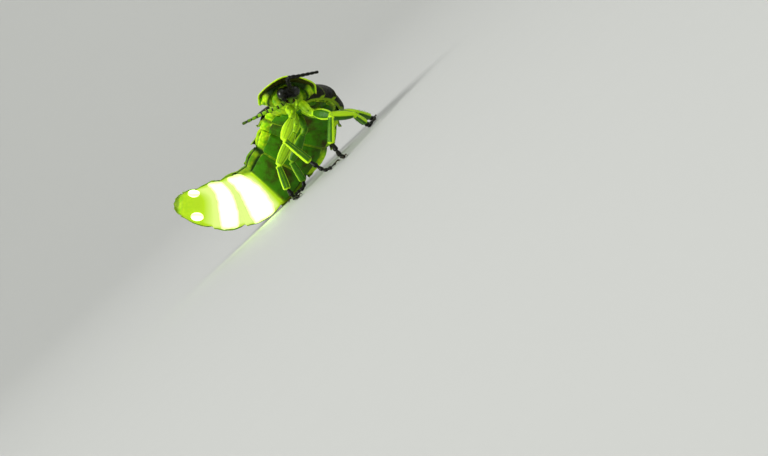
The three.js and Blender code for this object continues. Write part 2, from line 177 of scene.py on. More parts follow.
# Soft skin: translucent yellow-green, with painted shade in its folds, and harder belly plates in satin
# olive and brown
skinFinish = {"light": "#dcff1e", "green": "#86d204", "fold": "#1a3402", "plate": "#3f8006",
              "brown": "#3c3a0c", "tint": "#3c5204", "unlit": "#000000", "glowLow": "#b4dc20",
              "glowHigh": "#e6f890", "relief": (0.5, 0.05), "roughness": (0.3, 0.54), "ior": 1.45,
              "softness": 0.2, "bleed": (0.7, 1.0, 0.2)}


def softSkin(finish):
    material, tree, at, tone = newMaterial("softCuticle", finish)
    plate, fold, lit = (addNode(tree, "Attribute", use="Fac", attribute_name=name)
                        for name in ("plate", "fold", "glow"))
    blotch = addNode(tree, "TexNoise", {"Vector": at, "Scale": 1.6, "Detail": 4.0, "Roughness": 0.55})
    fat = addNode(tree, "TexVoronoi", {"Vector": at, "Scale": 4.5}, feature="SMOOTH_F1")
    mottle = addNode(tree, "Math", {0: blotch, 1: fat}, operation="ADD")
    patch = addNode(tree, "TexNoise", {"Vector": at, "Scale": 0.9, "Detail": 5.0, "Roughness": 0.6})
    horny = layColours(tree, tone["plate"], [(patch, 0.46, 0.66, tone["brown"])])
    ragged = addNode(tree, "Math", {0: blotch, 1: 0.5, 2: plate}, operation="MULTIPLY_ADD")
    # the third layer is painted shade in the folds, under the back plates and in the throat
    layers = [(mottle, 0.6, 1.2, tone["green"]), (ragged, 0.65, 0.95, horny), (fold, 0, 1, tone["fold"]),
              (lit, 0, 0.45, tone["tint"])]
    colour = layColours(tree, tone["light"], layers)
    wrinkle = addNode(tree, "TexNoise", {"Vector": at, "Scale": 9.0, "Detail": 6.0, "Roughness": 0.65,
                                         "Distortion": 0.6})
    setSurface(tree, finish, colour, wrinkle, wrinkle)
    # light carried through the skin next to the lantern, whitest between its bands
    layers = [(lit, 0, 0.5, tone["glowLow"]), (lit, 0.5, 1, tone["glowHigh"])]
    shine = layColours(tree, tone["unlit"], layers)
    setSockets(tree, tree.nodes["Principled BSDF"], {"Emission Color": shine, "Emission Strength": 1.0})
    return material


# Thin chitin of the neck shield: brown, with painted shade underneath, clear green corners and a narrow
# pale rim
shieldFinish = {"middle": "#251c0a", "window": "#6f9a10", "under": "#2f3006", "corner": "#5fae04",
                "rim": "#ccfa24", "relief": (0.8, 0.06), "roughness": (0.3, 0.5), "ior": 1.5,
                "softness": 0.25, "bleed": (0.7, 1.0, 0.2)}


def shieldChitin(finish):
    material, tree, at, tone = newMaterial("thinChitin", finish)
    rim, under, flap = (addNode(tree, "Attribute", use="Fac", attribute_name=name)
                        for name in ("rim", "under", "flap"))
    blotch = addNode(tree, "TexNoise", {"Vector": at, "Scale": 2.4, "Detail": 4.0, "Roughness": 0.6})
    spread = addNode(tree, "Math", {0: blotch, 1: 0.3, 2: rim}, operation="MULTIPLY_ADD")
    # the whole underside takes a darker colour as painted shade
    layers = [(spread, 0.75, 1.05, tone["window"]), (under, 0, 1, tone["under"]),
              (flap, 0, 1, tone["corner"]), (rim, 0.925, 0.955, tone["rim"])]
    colour = layColours(tree, tone["middle"], layers)
    pits = addNode(tree, "TexVoronoi", {"Vector": at, "Scale": 7.0})
    grain = addNode(tree, "TexNoise", {"Vector": at, "Scale": 18.0, "Detail": 3.0})
    height = addNode(tree, "Math", {0: pits, 1: grain}, operation="ADD")
    setSurface(tree, finish, colour, height, grain)
    return material


# Glossy chitin of the legs: bottle green on the flats, with painted rim light in clear yellow-green along
# the edges and joints, standing for light shining through the thin chitin
legFinish = {"flat": "#205003", "green": "#438006", "edge": "#c6f81c", "relief": (0.4, 0.02),
             "roughness": (0.3, 0.5), "ior": 1.56, "softness": 0.15, "bleed": (0.6, 1.0, 0.2)}


def legChitin(finish):
    material, tree, at, tone = newMaterial("glossyChitin", finish)
    blotch = addNode(tree, "TexNoise", {"Vector": at, "Scale": 3.0, "Detail": 4.0, "Roughness": 0.6})
    edge = addNode(tree, "Attribute", use="Fac", attribute_name="edge")
    ragged = addNode(tree, "Math", {0: blotch, 1: 0.2, 2: edge}, operation="MULTIPLY_ADD")
    layers = [(blotch, 0, 1, tone["green"]), (ragged, 0.25, 0.95, tone["edge"])]
    colour = layColours(tree, tone["flat"], layers)
    grain = addNode(tree, "TexVoronoi", {"Vector": at, "Scale": 16.0})
    setSurface(tree, finish, colour, grain, grain)
    return material


# Dark polished chitin of the head, feelers and feet: black with a brown bloom in its pits, pale on the
# lower face, and with painted light along the feeler that the lantern lights
darkFinish = {"black": "#040503", "brown": "#141504", "pale": "#8fca12", "relief": (0.4, 0.02),
              "roughness": (0.2, 0.46), "ior": 1.56}


def darkChitin(finish):
    material, tree, at, tone = newMaterial("polishedChitin", finish)
    blotch = addNode(tree, "TexNoise", {"Vector": at, "Scale": 4.0, "Detail": 4.0, "Roughness": 0.6})
    joint = addNode(tree, "Attribute", use="Fac", attribute_name="joint")
    layers = [(blotch, 0.42, 0.72, tone["brown"]), (joint, 0, 1, tone["pale"])]
    colour = layColours(tree, tone["black"], layers)
    grain = addNode(tree, "TexVoronoi", {"Vector": at, "Scale": 20.0})
    setSurface(tree, finish, colour, grain, blotch)
    return material


# Compound eye: a black, clear-coated dome of tiny facets, drawn coarse enough to show
eyeFinish = {"black": "#030303", "sheen": "#10170a", "facets": 16.0, "relief": (0.35, 0.02),
             "roughness": 0.28, "ior": 1.5, "shine": 0.4, "coat": 0.08, "coatRoughness": 0.12}


def eyeFacets(finish):
    material, tree, at, tone = newMaterial("eyeCuticle", finish)
    cells = addNode(tree, "TexVoronoi", {"Vector": at, "Scale": finish["facets"], "Randomness": 0.15})
    colour = layColours(tree, tone["sheen"], [(cells, 0, 1, tone["black"])])
    setSurface(tree, finish, colour, cells, sunk=True)
    setSockets(tree, tree.nodes["Principled BSDF"], {"Specular IOR Level": finish["shine"],
                                                     "Coat Weight": finish["coat"],
                                                     "Coat Roughness": finish["coatRoughness"]})
    return material


# Lantern: clear cuticle over the light organ, white where it is thickest, yellow-green at its edges
lanternFinish = {"base": "#44520c", "core": "#d6ff9a", "edge": "#dcf890", "power": 5.0, "edgePower": 0.85,
                 "relief": (0.3, 0.04), "roughness": 0.35, "ior": 1.45}


def lanternCuticle(finish):
    material, tree, at, tone = newMaterial("clearCuticle", finish)
    lobes = addNode(tree, "TexNoise", {"Vector": at, "Scale": 2.2, "Detail": 3.0, "Roughness": 0.5})
    rim = addNode(tree, "Attribute", use="Fac", attribute_name="rim")
    spread = addNode(tree, "Math", {0: lobes, 1: 0.4, 2: rim}, operation="MULTIPLY_ADD")
    low, high = 0.45, 1.15
    shine = layColours(tree, tone["core"], [(spread, low, high, tone["edge"])])
    power = addNode(tree, "MapRange", {"Value": spread, "From Min": low, "From Max": high,
                                       "To Min": finish["power"], "To Max": finish["edgePower"]})
    grain = addNode(tree, "TexNoise", {"Vector": at, "Scale": 7.0, "Detail": 4.0})
    setSurface(tree, finish, tone["base"], grain)
    setSockets(tree, tree.nodes["Principled BSDF"], {"Emission Color": shine, "Emission Strength": power})
    return material


# Claw and jaw: dense horn-like chitin, dark amber and polished by use
hornFinish = {"dark": "#120f04", "amber": "#3a2e0a", "relief": (0.2, 0.01), "roughness": (0.22, 0.34),
              "ior": 1.56}


def hornChitin(finish):
    material, tree, at, tone = newMaterial("denseChitin", finish)
    streak = addNode(tree, "TexNoise", {"Vector": at, "Scale": 6.0, "Detail": 3.0})
    colour = layColours(tree, tone["dark"], [(streak, 0, 1, tone["amber"])])
    setSurface(tree, finish, colour, streak, streak)
    return material


finishes = {
    "back": chitinBack(backFinish),
    "skin": softSkin(skinFinish),
    "shield": shieldChitin(shieldFinish),
    "leg": legChitin(legFinish),
    "dark": darkChitin(darkFinish),
    "eye": eyeFacets(eyeFinish),
    "lantern": lanternCuticle(lanternFinish),
    "horn": hornChitin(hornFinish),
}
print("materials made")


# Small tools for making pieces
def selectOnly(pieces):
    bpy.ops.object.select_all(action="DESELECT")
    for piece in pieces:
        piece.select_set(True)
    bpy.context.view_layer.objects.active = pieces[0]


def vertexArray(piece):
    flat = np.zeros(len(piece.data.vertices) * 3)
    piece.data.vertices.foreach_get("co", flat)
    return flat.reshape(-1, 3)


def moveVertices(piece, points):
    piece.data.vertices.foreach_set("co", np.asarray(points, float).ravel())
    piece.data.update()


# Gives every vertex a value of each name, which the finishes read
def setAttributes(piece, **layers):
    for name, values in layers.items():
        layer = piece.data.attributes.new(name, "FLOAT", "POINT")
        layer.data.foreach_set("value", np.full(len(piece.data.vertices), values, float))


def addModifier(piece, kind, **settings):
    modifier = piece.modifiers.new(kind.lower(), kind)
    for key, value in settings.items():
        setattr(modifier, key, value)


def applyModifiers(piece):
    selectOnly([piece])
    for modifier in list(piece.modifiers):
        bpy.ops.object.modifier_apply(modifier=modifier.name)


# A grid primitive whose corners run from -1 to 1, with its two coordinates as arrays
def addGrid(name, columns, rows):
    bpy.ops.mesh.primitive_grid_add(x_subdivisions=columns, y_subdivisions=rows, size=2)
    piece = bpy.context.object
    piece.name = name
    points = vertexArray(piece)
    return piece, points[:, 0], points[:, 1]


# A ball primitive of radius 1, with its three coordinates as arrays
def addBall(name, segments, rings):
    bpy.ops.mesh.primitive_uv_sphere_add(segments=segments, ring_count=rings, radius=1)
    piece = bpy.context.object
    piece.name = name
    return piece, *vertexArray(piece).T


# Merges doubles, dissolves degenerate bits and turns the faces outwards, or inwards
def cleanMesh(piece, distance=0.0005, inwards=False):
    selectOnly([piece])
    bpy.ops.object.mode_set(mode="EDIT")
    bpy.ops.mesh.select_all(action="SELECT")
    bpy.ops.mesh.remove_doubles(threshold=distance)
    bpy.ops.mesh.dissolve_degenerate(threshold=distance / 10)
    bpy.ops.mesh.select_all(action="SELECT")
    bpy.ops.mesh.normals_make_consistent(inside=inwards)
    bpy.ops.object.mode_set(mode="OBJECT")


def joinPieces(pieces, name):
    selectOnly(pieces)
    bpy.ops.object.join()
    pieces[0].name = name
    pieces[0].data.name = name
    return pieces[0]


# Turns overlapping closed pieces into one skin of even quads
def fuse(piece, voxel, smoothing):
    addModifier(piece, "REMESH", mode="VOXEL", voxel_size=voxel)
    addModifier(piece, "SMOOTH", factor=0.5, iterations=smoothing)
    applyModifiers(piece)


# Rumples a piece by noise: a list of the noise's size and its depth, in millimetres
def addWrinkles(piece, wrinkles):
    for size, depth in wrinkles:
        texture = bpy.data.textures.new("wrinkles", "CLOUDS")
        texture.noise_scale = size
        texture.noise_depth = 3
        addModifier(piece, "DISPLACE", texture=texture, strength=depth, mid_level=0.6)


# Makes a shaped piece metres, gives it its finish, hangs it on the root and hides the solids that it stands
# for
def finishPiece(piece, finish, nodes=()):
    points = vertexArray(piece)
    points[:, 2] = np.maximum(points[:, 2], 0.0)  # nothing goes through the floor
    moveVertices(piece, points + np.array(originShift))
    selectOnly([piece])
    piece.scale = (mm, mm, mm)
    bpy.ops.object.transform_apply(location=True, rotation=True, scale=True)
    bpy.ops.object.shade_smooth_by_angle(angle=50 * degree)
    piece.data.materials.clear()
    piece.data.materials.append(finishes[finish])
    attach(piece, "root")
    if nodes:
        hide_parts(*nodes)


# Eases from 0 to 1 while x goes from low to high
def ramp(low, high, x):
    t = np.clip((x - low) / (high - low), 0, 1)
    return t * t * (3 - 2 * t)


# A smooth hump, 1 at its middle
def bell(x, middle, wide):
    return np.exp(-((x - middle) / wide) ** 2)


# The outline of a round end: 0 at its tip, 1 from where x is 1
def roundEnd(x):
    return np.sqrt(np.clip(1 - (1 - np.clip(x, 0, 1)) ** 2, 0, 1))


def unit(v):
    v = np.asarray(v, float)
    return v / np.linalg.norm(v, axis=-1, keepdims=True)


# Reads the columns of a table at places between its rows
def readTable(x, steps, table):
    return np.column_stack([np.interp(x, steps, column) for column in table.T])


# The thorax frame, which the neck shield and the head are set in
neck = np.array((0.62, 0.8, 5.86))
forward = unit((0.15, -0.98, 0.125))
thoraxUp = np.array((0.515, 0.13, 0.85))
thoraxUp = unit(thoraxUp - forward * (thoraxUp @ forward))
thoraxLeft = np.cross(thoraxUp, forward)


# Points of the hood and the head, measured from the neck
def hoodPoints(left, ahead, up):
    left, ahead, up = (np.asarray(x, float)[..., None] for x in (left, ahead, up))
    return neck + thoraxLeft * left + forward * ahead + thoraxUp * up


# The body's axis at each joint: place, way of the back, half width, half height of the back and the belly
bodyStations = [
    (*hoodPoints(0, 1.35, 0.1), *thoraxUp, 1.15, 1.05, 0.85),
    (*neck, *thoraxUp, 1.6, 1.0, 1.1),
    (1.18, 2.0, 5.46, 0.52, 0.3, 0.8, 2.22, 1.02, 1.15),
    (1.41, 3.23, 5.02, 0.5, 0.45, 0.74, 2.55, 1.08, 1.15),
    (1.19, 4.4, 4.52, 0.45, 0.62, 0.65, 3.0, 1.05, 1.15),
    (0.22, 5.39, 4.01, 0.35, 0.75, 0.56, 3.4, 0.95, 1.15),
    (-0.89, 5.98, 3.31, 0.25, 0.82, 0.5, 3.35, 0.92, 1.1),
    (-2.93, 6.28, 2.67, 0.15, 0.86, 0.48, 3.0, 0.9, 1.05),
    (-5.2, 6.35, 2.2, 0.08, 0.92, 0.35, 2.55, 0.82, 1.0),
    (-7.45, 6.25, 2.7, 0.05, 0.98, 0.15, 2.35, 0.75, 0.9),
    (-9.15, 6.1, 3.78, 0.0, 1.0, 0.05, 2.02, 0.62, 0.75),
    (-10.85, 6.0, 5.48, 0.0, 1.0, 0.0, 1.0, 0.4, 0.46),
    (-11.3, 5.95, 5.98, 0.0, 1.0, 0.0, 0.5, 0.25, 0.28),
]
stationTable = np.array(bodyStations)
ringCount = len(bodyStations) - 1
samplesPerRing = 60
frameSteps = np.linspace(0, ringCount, ringCount * samplesPerRing + 1)


# A centripetal curve through the joints
def axisPoint(s):
    p = stationTable[:, :3]
    p = np.vstack([2 * p[0] - p[1], p, 2 * p[-1] - p[-2]])
    first = np.minimum(s.astype(int), ringCount - 1)
    w = (s - first)[:, None]
    x = [p[first + k] for k in range(4)]
    gaps = [np.sqrt(np.linalg.norm(x[k + 1] - x[k], axis=1))[:, None] for k in range(3)]
    startSlope = (x[1] - x[0]) / gaps[0] - (x[2] - x[0]) / (gaps[0] + gaps[1]) + (x[2] - x[1]) / gaps[1]
    endSlope = (x[2] - x[1]) / gaps[1] - (x[3] - x[1]) / (gaps[1] + gaps[2]) + (x[3] - x[2]) / gaps[2]
    a, b = startSlope * gaps[1], endSlope * gaps[1]
    square = -3 * x[1] + 3 * x[2] - 2 * a - b
    cube = 2 * x[1] - 2 * x[2] + a + b
    return x[1] + a * w + square * w ** 2 + cube * w ** 3


joints = range(ringCount + 1)
axisPoints = axisPoint(frameSteps)
axisTails = unit(np.gradient(axisPoints, axis=0))
axisBacks = readTable(frameSteps, joints, unit(stationTable[:, 3:6]))
axisBacks = unit(axisBacks - axisTails * np.sum(axisBacks * axisTails, axis=1)[:, None])
axisLefts = np.cross(axisTails, axisBacks)
axisSizes = readTable(frameSteps, joints, stationTable[:, 6:])
ringLengths = np.linalg.norm(np.diff(stationTable[:, :3], axis=0), axis=1)


# Points of the body: s counts rings, r is a share of the solids' radius and proud is millimetres outside it
def bodyPoints(s, angle, r, proud=0.0):
    # an angle of 0 is the left edge, and of a quarter turn the middle of the back
    s = np.asarray(s, float)
    inside = np.clip(s, 0, ringCount)
    place, tail, back, left = (readTable(inside, frameSteps, table)
                               for table in (axisPoints, axisTails, axisBacks, axisLefts))
    wide, backHigh, bellyHigh = readTable(inside, frameSteps, axisSizes).T
    c, v = np.cos(angle), np.sin(angle)
    high = np.where(v > 0, backHigh, bellyHigh)
    across = (wide * r + proud) * np.sign(c) * np.abs(c) ** 0.9
    up = (high * r + proud) * np.sign(v) * np.abs(v) ** 1.15
    beyond = (s - inside) * ringLengths[-1]
    return place + tail * beyond[:, None] + left * across[:, None] + back * up[:, None]


# Body skin: one closed skin of soft rings, each with a firmer belly plate and two pale lobes on a side
bodyPlan = {
    "around": 176,
    "rowsPerRing": 28,
    "hollow": 0.83,  # share of the solids' radius at the bottom of a fold between two rings
    "plateTurn": 50 * degree,  # turns are measured from the middle of the belly
    "plateRise": 0.12,
    "lobes": [(69 * degree, 11 * degree, 0.13), (95 * degree, 12 * degree, 0.15)],
    "grooves": [(55 * degree, 4 * degree), (82 * degree, 4 * degree)],
    "wrinkles": [(0.4, 0.05), (0.13, 0.02)],
    "collar": 0.07,
    "breathRings": (3, 9),
    "breathHole": (82 * degree, 3 * degree, 0.42, 0.06),  # turn and place on a ring, with their widths
    "breathDepth": 0.04,
    "smoothRings": (8, 10),  # the rings of the lantern, smooth under its bands
    "smoothTurn": 66 * degree,
    # light along the rings, and the turns between which it dies out
    "glow": [(7.88, 0), (8.1, 0.95), (9.95, 0.95), (10.3, 0.48), (10.9, 0.36), (11.4, 0.08)],
    "glowTurns": (50 * degree, 92 * degree),
}


# The rings of the lantern are swept back on the inner side of the curl, by a share of a ring
sweepPlan = {"right": 0.55, "left": 0.06, "turn": 64 * degree, "most": 1.15, "bend": 2.2,
             "none": 125 * degree, "all": 85 * degree, "from": 7.7, "to": 11.2, "ease": 0.9}


def ringSweep(plan, s, angle):
    turn = (-math.pi / 2 - angle + math.pi) % (2 * math.pi) - math.pi  # from the belly, plus to the right
    side = np.clip(np.abs(turn) / plan["turn"], 0, plan["most"]) ** plan["bend"]
    side *= ramp(plan["none"], plan["all"], np.abs(turn))
    start, end, ease = plan["from"], plan["to"], plan["ease"]
    along = ramp(start, start + ease, s) * ramp(end, end - ease, s)
    return np.where(turn > 0, plan["right"], plan["left"]) * side * along


# The skin's share of the solids' radius at each place, and how far it is belly plate or painted shade in a
# fold
def ringRelief(plan, s, turn):
    number = np.minimum(np.floor(s), ringCount - 1)
    share = s - number
    step = ramp(0, 0.3, share) * (1 - ramp(0.92, 1, share)) * (0.75 + 0.25 * share)
    swell = np.sin(math.pi * np.clip(share, 0, 1)) ** 0.6
    plate = 1 - ramp(plan["plateTurn"] - 3 * degree, plan["plateTurn"] + 4 * degree, turn)
    r = plan["hollow"] + plan["plateRise"] * plate * step
    # the lobes lie flat where a back plate covers them
    plateEdge = np.interp(number, range(1, ringCount), 90 - np.array(platePlan["wraps"])) * degree
    bare = 1 - 0.85 * ramp(plateEdge - 3 * degree, plateEdge + 5 * degree, turn)
    r += sum(rise * bell(turn, at, wide) for at, wide, rise in plan["lobes"]) * swell * bare
    r += 0.05 * ramp(104 * degree, 116 * degree, turn)
    groove = sum(bell(turn, at, wide) for at, wide in plan["grooves"])
    plate = plate * ramp(0.0, 0.08, share) * (1 - ramp(0.96, 1.0, share))
    flank = 0.08 * ramp(plan["plateTurn"], plan["plateTurn"] + 12 * degree, turn)
    crease = 1 - ramp(0.0, 0.12 + flank, share) * (1 - ramp(0.94 - flank, 1, share))
    first, last = plan["smoothRings"]
    smooth = (number >= first) & (number <= last) & (turn < plan["smoothTurn"])
    r = np.where(smooth, 0.845 + 0.1 * share, r)
    # the first ring is the neck, with a rolled collar round the head
    isNeck = s < 1
    r = np.where(isNeck, 0.91 + plan["collar"] * bell(s, 0.2, 0.1) + 0.02 * np.sin(s * 22), r)
    groove = np.where(isNeck, 0, groove)
    # painted shade at the collar's front edge and behind its roll
    crease = np.where(isNeck, np.clip(1 - ramp(0.02, 0.1, s) + 0.5 * ramp(0.35, 0.5, s), 0, 1), crease)
    plate = np.where(isNeck, 0, plate)
    r = np.where(number == ringCount - 1, 0.9 - 0.3 * share ** 3, r)
    first, last = plan["breathRings"]
    holeTurn, holeWide, holeAt, holeLong = plan["breathHole"]
    breath = bell(turn, holeTurn, holeWide) * bell(share, holeAt, holeLong)
    breath = breath * ((number >= first) & (number <= last))
    # painted shade in the creases between rings, in the grooves between the lobes and in the breathing
    # holes
    fold = np.clip(0.8 * crease + 0.75 * groove * swell + breath, 0, 1)
    return r - plan["breathDepth"] * breath, plate, fold


def makeBodySkin(plan):
    skin, u, v = addGrid("bodySkin", plan["around"], ringCount * plan["rowsPerRing"])
    angle = u * math.pi
    # rows lie closer together at both ends
    s = (v + 1) / 2 * ringCount
    s = np.where(s < 1, s ** 2, s)
    s = np.where(s > ringCount - 1, ringCount - (ringCount - s) ** 2, s)
    turn = np.abs((angle + 3 * math.pi / 2) % (2 * math.pi) - math.pi)
    swept = s - ringSweep(sweepPlan, s, angle)
    r, plate, fold = ringRelief(plan, swept, turn)
    points = bodyPoints(s, angle, r * (roundEnd(s / 0.22) * roundEnd((ringCount - s) / 0.9)))
    points[:, 2] = np.maximum(points[:, 2], 0.0)
    moveVertices(skin, points)
    along, light = np.asarray(plan["glow"], float).T
    lit = np.interp(swept, along, light) * (1 - ramp(*plan["glowTurns"], turn))
    # painted shade under the back plates and in the throat under the hood, and darker along the flanks of
    # the last rings and towards the tail tip
    darkening = np.max([ramp(106 * degree, 122 * degree, turn) * (s > 1),
                      0.62 * ramp(6.6, 7.4, s) * (turn > plan["plateTurn"]),
                      0.45 * ramp(0.6, 0.35, s),
                      0.85 * ramp(11.1, 11.5, s)], axis=0)
    setAttributes(skin, fold=np.clip(fold + darkening, 0, 1) * (1 - np.clip(1.5 * lit, 0, 1)), glow=lit,
                  plate=plate * (1 - np.clip(2 * lit, 0, 1)) * (s < 9))
    cleanMesh(skin)
    addWrinkles(skin, plan["wrinkles"])
    applyModifiers(skin)
    finishPiece(skin, "skin", ["prothorax"] + platePlan["names"])


# Back plates: one thin arched plate on each ring, flared behind, its hind corners drawn back and rounded
platePlan = {
    "names": ["mesothorax", "metathorax"] + [f"abdomen_{i}" for i in range(1, 9)] + ["tail_tip"],
    "wraps": [34, 32, 26, 14, 2, -5, -12, -17, -20, -22, -26],  # degrees that it turns under the side
    "columns": 80,
    "rows": 24,
    "lobe": [0.26, 0.22, 0.18, 0.14, 0.13, 0.13, 0.12, 0.12, 0.1, 0.1, 0.0],  # its corners, drawn back
    "front": 0.89,
    "rear": 0.985,
    "thickness": 0.07,
    "keel": 0.05,
    "wrinkles": [(0.5, 0.05), (0.2, 0.03)],
}


def makeBackPlate(ring, name, plan):
    plate, u, v = addGrid("plate_" + name, plan["columns"], plan["rows"])
    isTip = ring == ringCount - 1
    angle = math.pi / 2 + u * (math.pi / 2 + plan["wraps"][ring - 1] * degree)
    t = (v + 1) / 2
    side = np.abs(u)
    drawnBack = plan["lobe"][ring - 1] / ringLengths[ring] * bell(side, 0.86, 0.14) * t ** 2
    s = ring + 0.03 + (0.94 - 0.2 * isTip) * t + drawnBack
    s += 0.12 * ramp(0.75, 1.0, side) * (1 - t) - 0.1 * ramp(0.9, 1.0, side) * t ** 2
    r = 0.95 - 0.35 * t ** 3 if isTip else plan["front"] + (plan["rear"] - plan["front"]) * t ** 1.3
    lift = 0.06 * ramp(0.8, 1.0, t) * (1 - ramp(0.8, 1.0, side)) + 0.03 - 0.09 * side ** 6
    keelLine = ramp(0.1, 0.4, t)
    keel = plan["keel"] * bell(u, 0, 0.03) * keelLine
    dent = 0.05 * bell(side, 0.42, 0.16) * bell(t, 0.35, 0.2)
    points = bodyPoints(s, angle, r, lift + keel - dent)
    points[:, 2] = np.maximum(points[:, 2], 0.02)
    moveVertices(plate, points)
    sideEdge = ramp(0.84, 0.96, side)
    rearEdge = ramp(0.92, 1.0, t) * 0.9
    spot = 1.1 * bell(side, 0.9, 0.1) * bell(t, 0.93, 0.18)
    midLine = 0.75 * bell(u, 0, 0.02) * keelLine
    setAttributes(plate, margin=np.clip(np.max([sideEdge, rearEdge, spot, midLine], axis=0), 0, 1))
    addWrinkles(plate, plan["wrinkles"])
    addModifier(plate, "SOLIDIFY", thickness=plan["thickness"], offset=-1)
    addModifier(plate, "BEVEL", width=plan["thickness"] * 0.3, segments=2, limit_method="ANGLE")
    applyModifiers(plate)
    finishPiece(plate, "back")


makeBodySkin(bodyPlan)
print("body skin made")
for number, plateName in enumerate(platePlan["names"]):
    makeBackPlate(number + 1, plateName, platePlan)
print("back plates made")


# Neck shield: a half-round hood over the head, thin at its rim, with broad drooping hind corners
shieldPlan = {
    "width": 4.5,
    "length": 3.0,
    "crown": 0.8,
    "lift": 0.45,
    "back": -0.15,
    "middle": 1.05,
    "square": 0.42,  # how square its hind edge is, where 1 is round and 0 is square
    "bite": 0.3,
    "brim": 0.12,
    "droop": 0.6,
    "thickness": 0.26,
    "bead": 0.035,
    "ridge": 0.05,
    "rumple": 0.02,
    "wrinkles": [(0.6, 0.06), (0.18, 0.02)],
}


# The hood's middle surface: r runs from its middle to its rim and turn round it, from its left side
def shieldSurface(plan, r, turn):
    half = plan["width"] / 2
    ahead = plan["back"] + plan["length"] - plan["middle"]
    behind = plan["middle"] - plan["back"]
    c, v = np.cos(turn), np.sin(turn)
    squareness = np.where(v < 0, plan["square"], 1.0)
    left = half * r * np.sign(c) * np.abs(c) ** squareness
    bite = np.where(v < 0, plan["bite"] * (1 - (left / half) ** 2) * r * -v, 0)
    front = plan["middle"] + r * np.where(v > 0, ahead * v, -behind * np.abs(v) ** squareness) + bite
    arch = plan["lift"] + plan["crown"] * (1 - np.abs(left / half) ** 1.6)
    flap = ramp(0, 1.5, plan["middle"] + 0.5 - front) * ramp(0.6, 0.88, np.abs(left / half))
    return left, front, arch + plan["brim"] * r ** 6 - plan["droop"] * flap, flap


def makeShield(plan):
    shield, x, y, z = addBall("neckShield", 192, 96)
    r = np.minimum(np.hypot(x, y), 1)
    left, front, height, flap = shieldSurface(plan, r, np.arctan2(y, x))
    body = np.sign(z) * np.abs(z) ** 0.6 * (1 - 0.5 * ramp(0.5, 0.9, r))
    bead = plan["bead"] * bell(r, 0.97, 0.03) * np.sign(z) * np.abs(z) ** 0.3
    ridge = plan["ridge"] * bell(left, 0, 0.12) * (z > 0) * ramp(0.95, 0.4, r)
    rumple = plan["rumple"] * np.sin(left * 5.0 + 1.0) * np.sin(front * 4.0) * ramp(0.95, 0.6, r)
    height += plan["thickness"] / 2 * body + bead + ridge + rumple
    moveVertices(shield, hoodPoints(left, front, height))
    # under marks the underside of the hood, which takes painted shade
    setAttributes(shield, rim=r, under=ramp(0.05, -0.05, z), flap=ramp(0.15, 0.7, flap))
    cleanMesh(shield)
    addWrinkles(shield, plan["wrinkles"])
    applyModifiers(shield)
    finishPiece(shield, "shield", ["pronotum"])


# Soft lining that joins the collar round the head to the underside of the hood and its corners, darkened
# with painted shade
liningPlan = {
    "reach": 125 * degree,  # how far it runs down each side from the top
    "outer": [(0, 0.18), (0.35, 0.34), (0.68, 0.78), (0.8, 0.91), (1, 0.93)],  # share of the hood's radius
    "inner": [(0, 0.15), (0.5, 0.2), (1, 0.5)],  # place along the first ring
    "gap": 0.03,
    "bulge": 0.14,
    "pleat": 0.025,
    "thickness": 0.05,
}


def makeLining(plan, shield):
    lining, u, v = addGrid("neckLining", 120, 24)
    side = np.abs(u)
    turn = math.pi / 2 - u * plan["reach"]
    k = (v + 1) / 2
    shares, outer = np.asarray(plan["outer"], float).T
    left, front, height = shieldSurface(shield, np.interp(side, shares, outer), turn)[:3]
    rim = hoodPoints(left, front, height - plan["gap"])
    shares, inner = np.asarray(plan["inner"], float).T
    collar = bodyPoints(np.interp(side, shares, inner), turn, 0.9)
    swell = (plan["bulge"] + plan["pleat"] * np.sin(u * 34)) * np.sin(k * math.pi)
    moveVertices(lining, collar + (rim - collar) * k[:, None] + np.outer(swell, forward - 0.4 * thoraxUp))
    # painted shade under the hood: dark over the top and near the collar, with a patch near each hind
    # corner, a little lighter at the collar itself
    dark = np.maximum(ramp(0.75, 0.6, side), ramp(0.72, 0.4, k))
    dark = np.maximum(dark, 0.8 * bell(side, 0.84, 0.09) * bell(k, 0.72, 0.2))
    setAttributes(lining, fold=np.clip(dark * (1 - 0.3 * ramp(0.42, 0.12, k)), 0, 1), plate=0, glow=0)
    addModifier(lining, "SOLIDIFY", thickness=plan["thickness"], offset=0)
    applyModifiers(lining)
    finishPiece(lining, "skin")


makeShield(shieldPlan)
makeLining(liningPlan, shieldPlan)
print("neck shield made")


# A closed round piece along a line or curve: shares of the length and radii give its outline
def addTube(name, path, radii, sides, rows, side=(0, 0, 1), flat=1.0):
    piece, x, y, z = addBall(name, sides, rows)
    share = np.round(np.arccos(np.clip(-z, -1, 1)) / math.pi * rows) / rows
    turn = np.arctan2(y, x)
    path = np.asarray(path, float)
    steps = np.linspace(0, 1, len(path))
    fine = np.linspace(0, 1, 200)
    slope = unit(np.gradient(readTable(fine, steps, path), axis=0))
    along = unit(readTable(share, fine, slope))
    broad = unit(side - along * (along @ side)[:, None])
    thin = np.cross(along, broad)
    shares, sizes = np.asarray(radii, float).T
    radius = np.interp(share, shares, sizes) * roundEnd(np.minimum(share, 1 - share) / 0.04)
    outward = broad * (radius * np.cos(turn))[:, None] + thin * (radius * flat * np.sin(turn))[:, None]
    moveVertices(piece, readTable(share, steps, path) + outward)
    return piece


# A smooth path through a few places
def curvePath(places, count):
    p = np.asarray(places, float)
    p = np.vstack([2 * p[0] - p[1], p, 2 * p[-1] - p[-2]])
    spans = len(places) - 1
    path = []
    for w in np.linspace(0, spans, count):
        i = min(int(w), spans - 1)
        f = w - i
        a, b, c, d = p[i:i + 4]
        square = 2 * a - 5 * b + 4 * c - d
        cube = 3 * b - a - 3 * c + d
        path.append(0.5 * (2 * b + (c - a) * f + square * f ** 2 + cube * f ** 3))
    path = np.array(path)
    reach = np.concatenate([[0], np.cumsum(np.linalg.norm(np.diff(path, axis=0), axis=1))])
    return readTable(np.linspace(0, reach[-1], count), reach, path)


